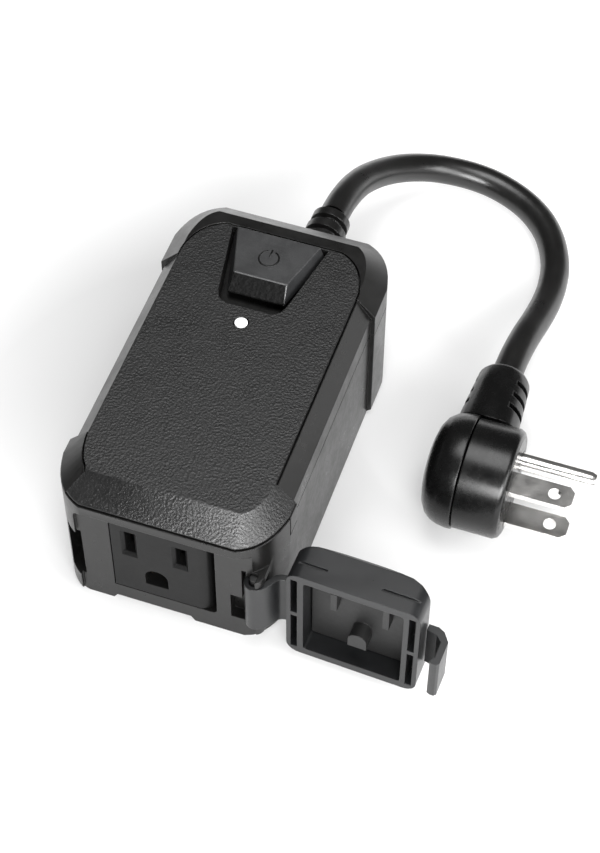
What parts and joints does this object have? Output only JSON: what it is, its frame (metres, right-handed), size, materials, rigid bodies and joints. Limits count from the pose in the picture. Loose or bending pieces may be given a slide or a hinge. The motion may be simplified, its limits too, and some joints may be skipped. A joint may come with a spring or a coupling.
{
  "type": "outdoor smart plug",
  "caption": "Sealed outdoor smart switching box with a grounded outlet under a hinged cover, a power button, and a short lead ending in a right-angle grounded plug.",
  "frame": {"origin": "centre of the flat back face that the box lies on", "axes": "+Z from the back face to the controls, +Y from the outlet end to the cord end, +X to the side that the open cover and the plug lie on"},
  "size_m": [0.118, 0.1681, 0.0454],
  "materials": {
    "shell_plastic": "fine moulded grain",
    "plate_plastic": "leather grain",
    "outlet_plastic": "smooth satin",
    "cover_plastic": "fine moulded grain",
    "button_plastic": "fine moulded grain",
    "seal_rubber": "soft",
    "cord_rubber": "satin",
    "plug_plastic": "satin gloss",
    "nickel": "nickel plated",
    "contact_brass": "stamped",
    "steel": "zinc plated",
    "board": "solder mask",
    "component": "moulded case",
    "lens": "milky",
    "hot_insulation": "vinyl",
    "neutral_insulation": "vinyl",
    "ground_insulation": "vinyl"
  },
  "bodies": {
    "box": {"rear_housing": "shell_plastic", "front_shell": "shell_plastic", "face_plate": "plate_plastic", "housing_seal": "seal_rubber", "shell_screw_1": "steel", "shell_screw_2": "steel", "shell_screw_3": "steel", "shell_screw_4": "steel", "button_gasket": "seal_rubber", "switch_body": "component", "light_pipe": "lens", "status_led": "lens", "circuit_board": "board", "relay": "component", "transformer": "component", "capacitor": "component", "fuse": "lens", "radio_module": "steel", "outlet_insert": "outlet_plastic", "neutral_contact": "contact_brass", "hot_contact": "contact_brass", "ground_contact": "contact_brass", "hinge_pin": "steel", "cord_clamp": "outlet_plastic", "hot_wire": "hot_insulation", "neutral_wire": "neutral_insulation", "ground_wire": "ground_insulation", "strain_relief": "cord_rubber", "power_cord": "cord_rubber", "plug_neck": "plug_plastic", "plug_body": "plug_plastic", "plug_cap": "plug_plastic", "neutral_blade": "nickel", "hot_blade": "nickel", "ground_pin": "nickel"},
    "cover": {"cover_hinge_arm": "cover_plastic", "outlet_cover": "cover_plastic", "cover_plugs": "seal_rubber", "cover_latch": "cover_plastic"},
    "button": {"power_button": "button_plastic"},
    "plunger": {"switch_plunger": "outlet_plastic"}
  },
  "joints": [
    {"name": "cover_hinge", "type": "hinge", "parent": "box", "child": "cover", "pos_m": [0.0232, -0.0476, 0.018], "axis": [0, 0, 1], "range_deg": [-177.3, 2.7]},
    {"name": "button_press", "type": "slide", "parent": "box", "child": "button", "axis": [0, 0, -1], "range_m": [0, 0.0008], "stiffness_N_per_m": 1500, "springref_m": -0.0006},
    {"name": "plunger_press", "type": "slide", "parent": "box", "child": "plunger", "axis": [0, 0, -1], "range_m": [0, 0.0008]}
  ],
  "couplings": [
    {"joint": "plunger_press", "follows": "button_press", "ratio": 1}
  ]
}
